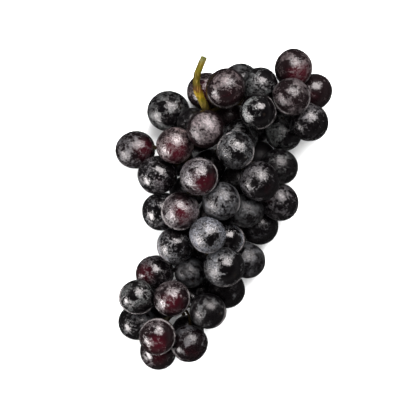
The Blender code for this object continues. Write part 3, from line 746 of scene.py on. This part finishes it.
def noise(add, place, scale, detail, rough=0.5, warp=0.0):
    """Noise at a number of waves per metre."""
    inputs = {
        "Vector": place,
        "Scale": scale,
        "Detail": detail,
        "Roughness": rough,
        "Distortion": warp,
    }
    return add("ShaderNodeTexNoise", inputs).outputs["Fac"]


def stirred(add, value, pattern, amount):
    """The value, moved up and down by a pattern."""
    swing = times(add, minus(add, pattern, PATTERN_MEAN), amount)
    return plus(add, value, swing)


def split(add, vector):
    """The three numbers of a vector."""
    return add("ShaderNodeSeparateXYZ", {"Vector": vector}).outputs


def stored(add, name, output="Vector"):
    """What the points of a mesh hold under a name."""
    return add("ShaderNodeAttribute", attribute_name=name).outputs[output]


def set_relief(add, shader, height, strength, depth):
    """Gives a surface its bumps. The depth is in metres."""
    bump = add("ShaderNodeBump", {"Height": height, "Strength": strength, "Distance": depth})
    feed(shader, "Normal", bump.outputs["Normal"])


def skin_material(name, dark, red):
    """Grape skin: dark, red in places, under patches of wax that is rubbed off here and there. Part
    of the wax level is painted light and shade, and thin bright lines near the rims are painted rim
    reflections.
    """
    material, shader, add = new_material(name)
    place = add("ShaderNodeTexCoord").outputs["Object"]
    wax, tint, red_share = split(add, stored(add, "skin"))
    scar, stem_mark, painted_rim = split(add, stored(add, "ends"))
    soft = stored(add, "soft", "Fac")
    clouds = noise(add, place, *CLOUDS)
    patches = noise(add, place, *PATCHES)
    blots = noise(add, place, *BLOTS)
    specks = noise(add, place, *SPECKS)
    grain = noise(add, place, *GRAIN)

    level = stirred(add, wax, clouds, CLOUD_WAX)
    level = stirred(add, level, patches, PATCH_WAX)
    level = stirred(add, level, specks, SPECK_WAX)
    haze = remap(add, level, *HAZE_LEVELS)
    red_part = remap(add, stirred(add, red_share, clouds, RED_CLOUDS), *RED_LEVELS)
    red_part = times(add, red_part, remap(add, red_share, *RED_EDGE))
    film = remap(add, level, *FILM_LEVELS)
    film = times(add, film, remap(add, blots, *BLOT_RUBS))
    film = times(add, film, remap(add, specks, *SPECK_RUBS, smooth=False))
    film = times(add, film, remap(add, grain, *GRAIN_RUBS, smooth=False))
    film = times(add, film, minus(add, 1.0, times(add, red_part, RED_CLEARS)))

    flesh = blend(add, remap(add, tint, *BROWN_TINTS), dark, BROWN_SKIN)
    flesh = blend(add, red_part, flesh, red)
    thin_wax = ramp(add, tint, THIN_WAX)
    thick_wax = ramp(add, tint, THICK_WAX)
    wax_colour = blend(add, remap(add, level, *THICK_LEVELS), thin_wax, thick_wax)
    colour = blend(add, times(add, film, FILM_SHARE), flesh, wax_colour)
    colour = blend(add, times(add, scar, MARK_SHARE), colour, SCAR_COLOUR)
    colour = blend(add, times(add, stem_mark, MARK_SHARE), colour, STEM_MARK_COLOUR)
    # painted rim reflections: thin bright lines mixed into the colour
    painted_rim = times(add, painted_rim, remap(add, patches, *PAINTED_RIM_BREAKS))
    feed(shader, "Base Color", blend(add, painted_rim, colour, PAINTED_RIM_COLOUR))

    grit = stirred(add, 0.0, specks, SPECK_ROUGHNESS)
    grit = stirred(add, grit, grain, GRAIN_ROUGHNESS)
    grit = times(add, grit, remap(add, haze, 0.0, 1.0, BARE_GRIT, 1.0))
    roughness = plus(add, BARE_ROUGHNESS, times(add, haze, HAZE_ROUGHNESS))
    roughness = plus(add, plus(add, roughness, grit), times(add, soft, SOFT_ROUGHNESS))
    feed(shader, "Roughness", roughness)
    feed(shader, "IOR", SKIN_IOR)
    feed(shader, "Specular Tint", SKIN_SPECULAR)
    shine = plus(add, BARE_SHINE, times(add, haze, HAZE_SHINE))
    shine = times(add, shine, minus(add, 1.0, times(add, soft, SOFT_SHINE)))
    feed(shader, "Specular IOR Level", shine)

    speck_rise = plus(add, SPECK_RISE, times(add, haze, HAZE_SPECK_RISE))
    grain_rise = times(add, haze, HAZE_GRAIN_RISE)
    height = plus(add, times(add, film, FILM_RISE), times(add, specks, speck_rise))
    height = plus(add, height, times(add, grain, grain_rise))
    set_relief(add, shader, height, *SKIN_RELIEF)
    return material


def stalk_material():
    """Fresh stalk: yellow-green and olive, brown at its node, streaked, with a green cut end."""
    material, shader, add = new_material("stalk_bark")
    place = add("ShaderNodeTexCoord").outputs["Object"]
    across, up_stalk, _ = split(add, place)
    streaked = add("ShaderNodeMapping", {"Vector": place, "Scale": STREAK_SCALE}).outputs["Vector"]
    streaks = noise(add, streaked, *STREAKS)
    spots = noise(add, place, *SPOTS)
    fibres = noise(add, place, *FIBRES)

    along = remap(add, up_stalk, *STALK_SPAN, smooth=False)
    along = minus(add, along, times(add, remap(add, across, *SIDE_STEMS), SIDE_BROWN))
    along = stirred(add, along, spots, SPOT_SHIFT)
    colour = ramp(add, along, STALK_COLOURS)
    colour = blend(add, remap(add, streaks, *DARK_STREAKS), colour, DARK_STREAK)
    light = times(add, remap(add, streaks, *LIGHT_STREAKS), remap(add, along, *FRESH_PART))
    feed(shader, "Base Color", blend(add, light, colour, LIGHT_STREAK))
    feed(shader, "Roughness", remap(add, spots, *STALK_ROUGHNESS))
    feed(shader, "Specular IOR Level", STALK_SPECULAR)
    height = plus(add, streaks, times(add, fibres, FIBRE_RISE))
    set_relief(add, shader, height, *STALK_RELIEF)
    return material


def make_floor():
    """A plain pale floor."""
    mesh = bpy.data.meshes.new("floor")
    signs = ((-1, -1), (1, -1), (1, 1), (-1, 1))
    corners = [(x * FLOOR_HALF, y * FLOOR_HALF, 0.0) for x, y in signs]
    mesh.from_pydata(corners, [], [(0, 1, 2, 3)])
    material, shader, _ = new_material("floor_pale")
    feed(shader, "Base Color", FLOOR_COLOUR)
    feed(shader, "Roughness", FLOOR_ROUGHNESS)
    feed(shader, "Specular IOR Level", FLOOR_SPECULAR)
    mesh.materials.append(material)
    floor = bpy.data.objects.new("floor", mesh)
    floor.visible_glossy = False
    bpy.context.scene.collection.objects.link(floor)


def make_lamp(name, way, distance, size, power):
    """A rectangular soft light that points at the bunch."""
    light = bpy.data.lights.new(name, "AREA")
    light.shape = "RECTANGLE"
    light.size, light.size_y = size
    light.energy = power
    lamp = bpy.data.objects.new(name, light)
    way = Vector(way).normalized()
    lamp.location = Vector(AIM) + way * distance
    lamp.rotation_mode = "QUATERNION"
    lamp.rotation_quaternion = way.to_track_quat("Z", "Y")
    bpy.context.scene.collection.objects.link(lamp)
    return lamp


def make_world():
    """Pale surroundings low down and a dark room above."""
    world = bpy.data.worlds.new("studio")
    world.use_nodes = True
    bpy.context.scene.world = world
    nodes = world.node_tree.nodes
    place = nodes.new("ShaderNodeTexCoord")
    parts = nodes.new("ShaderNodeSeparateXYZ")
    rise = nodes.new("ShaderNodeMapRange")
    light = nodes.new("ShaderNodeValToRGB")
    fill_ramp(light, [(height, (level, level, level)) for height, level in SURROUNDINGS])
    feed(parts, "Vector", place.outputs["Generated"])
    feed(rise, "From Min", -1.0)
    feed(rise, "Value", parts.outputs["Z"])
    feed(light, "Fac", rise.outputs["Result"])
    feed(nodes["Background"], "Color", light.outputs["Color"])


def make_camera():
    """Straight above, with a long lens."""
    data = bpy.data.cameras.new("view")
    data.sensor_width = SENSOR
    data.lens = SENSOR * VIEW_DISTANCE / (PIXEL * VIEW_SIDE * MM)
    data.clip_end = VIEW_END
    camera = bpy.data.objects.new("view", data)
    camera.location = (VIEW_AIM[0] * MM, VIEW_AIM[1] * MM, VIEW_LEVEL * MM + VIEW_DISTANCE)
    bpy.context.scene.collection.objects.link(camera)
    bpy.context.scene.camera = camera


def main():
    """Dresses every solid, and sets the floor, the lights and the camera."""
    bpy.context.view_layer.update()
    slots = {part["node"]: part["material_slot"] for part in frame["record"]["subparts"]}
    names = sorted(node for node in slots if node != "stalk")
    balls = [fit_ball(node_points(name)) for name in names]
    middles = np.array([middle for middle, _ in balls])
    radii = np.array([radius for _, radius in balls])
    axes = stem_ways(middles)
    grid = berry_grid()
    skins = {slot: skin_material(*look) for slot, look in SKINS.items()}
    for number, name in enumerate(names):
        berry = make_berry(number, middles, radii, axes[number], grid, skins[slots[name]])
        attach(berry, "root")
        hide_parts(name)
    stalk = make_stalk(middles, radii, stalk_material())
    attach(stalk, "root")
    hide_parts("stalk")
    make_floor()
    make_lamp("window_light", KEY_WAY, KEY_DISTANCE, KEY_SIZE, KEY_POWER)
    make_lamp("top_light", TOP_WAY, TOP_DISTANCE, TOP_SIZE, TOP_POWER)
    fill = make_lamp("fill_light", (0.0, 0.0, 1.0), FILL_HEIGHT, FILL_SIZE, FILL_POWER)
    fill.visible_glossy = False
    make_world()
    make_camera()
    view = bpy.context.scene.view_settings
    view.view_transform = "Standard"
    view.exposure = EXPOSURE
    view.gamma = GAMMA
    bpy.context.view_layer.update()


with open("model.json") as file:
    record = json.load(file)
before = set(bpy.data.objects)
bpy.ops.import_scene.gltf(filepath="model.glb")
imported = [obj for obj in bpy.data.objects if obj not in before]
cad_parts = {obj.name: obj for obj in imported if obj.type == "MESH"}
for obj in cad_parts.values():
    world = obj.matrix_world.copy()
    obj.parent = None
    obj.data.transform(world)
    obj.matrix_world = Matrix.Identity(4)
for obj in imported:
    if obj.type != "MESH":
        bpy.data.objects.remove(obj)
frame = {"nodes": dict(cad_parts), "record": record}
main()
